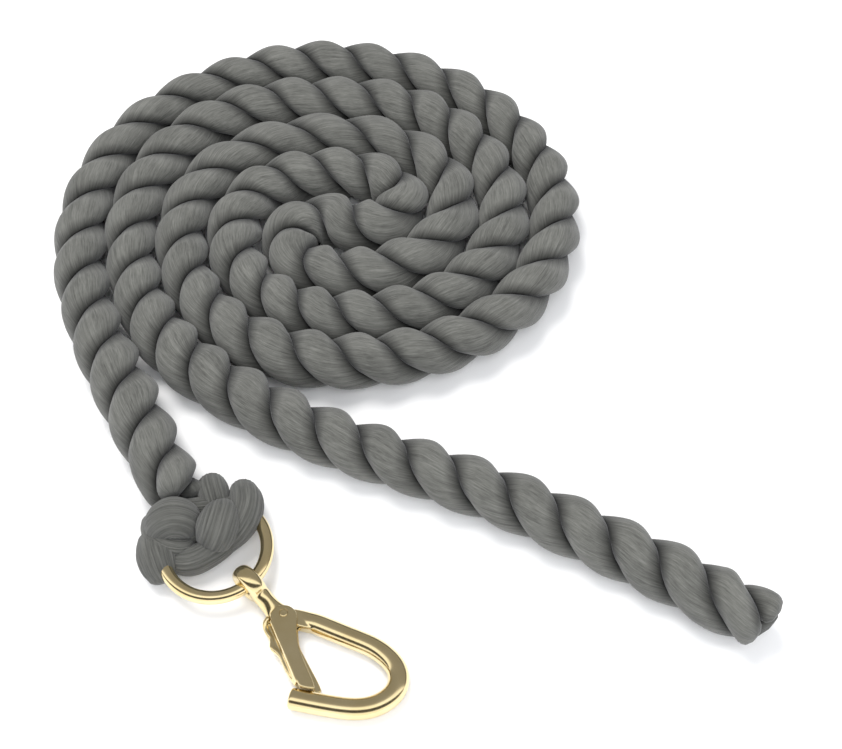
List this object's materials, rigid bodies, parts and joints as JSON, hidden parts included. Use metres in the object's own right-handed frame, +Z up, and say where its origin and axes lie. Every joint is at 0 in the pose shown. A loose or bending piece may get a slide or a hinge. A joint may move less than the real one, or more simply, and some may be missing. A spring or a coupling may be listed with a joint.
{
  "type": "lead rope",
  "caption": "Soft three-strand cotton lead rope lying in a flat S-hearted coil, with an eye worked round a brass ring that carries a brass trigger clip.",
  "frame": {"origin": "on the floor under the S at the heart of the coil", "axes": "+Z up from the floor; the clip lies towards -Y and the free tail runs towards +X and -Y"},
  "size_m": [0.2712, 0.3243, 0.0217],
  "materials": {
    "cotton_rope": "matte",
    "ring_brass": "polished",
    "clip_brass": "polished",
    "gate_brass": "polished",
    "rivet_brass": "polished",
    "spring_steel": "satin"
  },
  "bodies": {
    "coil": {"coil_strand_1": "cotton_rope", "coil_strand_2": "cotton_rope", "coil_strand_3": "cotton_rope"},
    "lead": {"lead_strand_1": "cotton_rope", "lead_strand_2": "cotton_rope", "lead_strand_3": "cotton_rope", "eye_turn_1": "cotton_rope", "eye_turn_2": "cotton_rope", "eye_turn_3": "cotton_rope", "eye_turn_4": "cotton_rope"},
    "tail": {"tail_strand_1": "cotton_rope", "tail_strand_2": "cotton_rope", "tail_strand_3": "cotton_rope"},
    "ring": {"ring": "ring_brass"},
    "clip": {"clip_body": "clip_brass", "gate_rivet": "rivet_brass", "gate_spring": "spring_steel"},
    "gate": {"gate": "gate_brass"}
  },
  "joints": [
    {"name": "lead_bend", "type": "hinge", "parent": "coil", "child": "lead", "pos_m": [-0.08055, -0.08744, 0.01075], "axis": [0, 0, 1], "range_deg": [-20, 6]},
    {"name": "tail_bend", "type": "hinge", "parent": "coil", "child": "tail", "pos_m": [-0.0317, -0.09333, 0.01075], "axis": [0, 0, 1], "range_deg": [-6, 14]},
    {"name": "ring_turn", "type": "hinge", "parent": "lead", "child": "ring", "pos_m": [-0.0385, -0.15335, 0.0084], "axis": [0.045, -0.0643, 0.9969], "range_deg": [-25, 12]},
    {"name": "clip_lift", "type": "hinge", "parent": "ring", "child": "clip", "pos_m": [-0.02555, -0.16585, 0.007], "axis": [-0.695, -0.719, 0], "range_deg": [0, 75]},
    {"name": "gate_open", "type": "hinge", "parent": "clip", "child": "gate", "pos_m": [-0.0132, -0.1767, 0.0036], "axis": [0, 0, 1], "range_deg": [0, 25], "stiffness_Nm_per_rad": 0.04, "springref_deg": -8.59, "deforming": ["gate_spring"]}
  ]
}
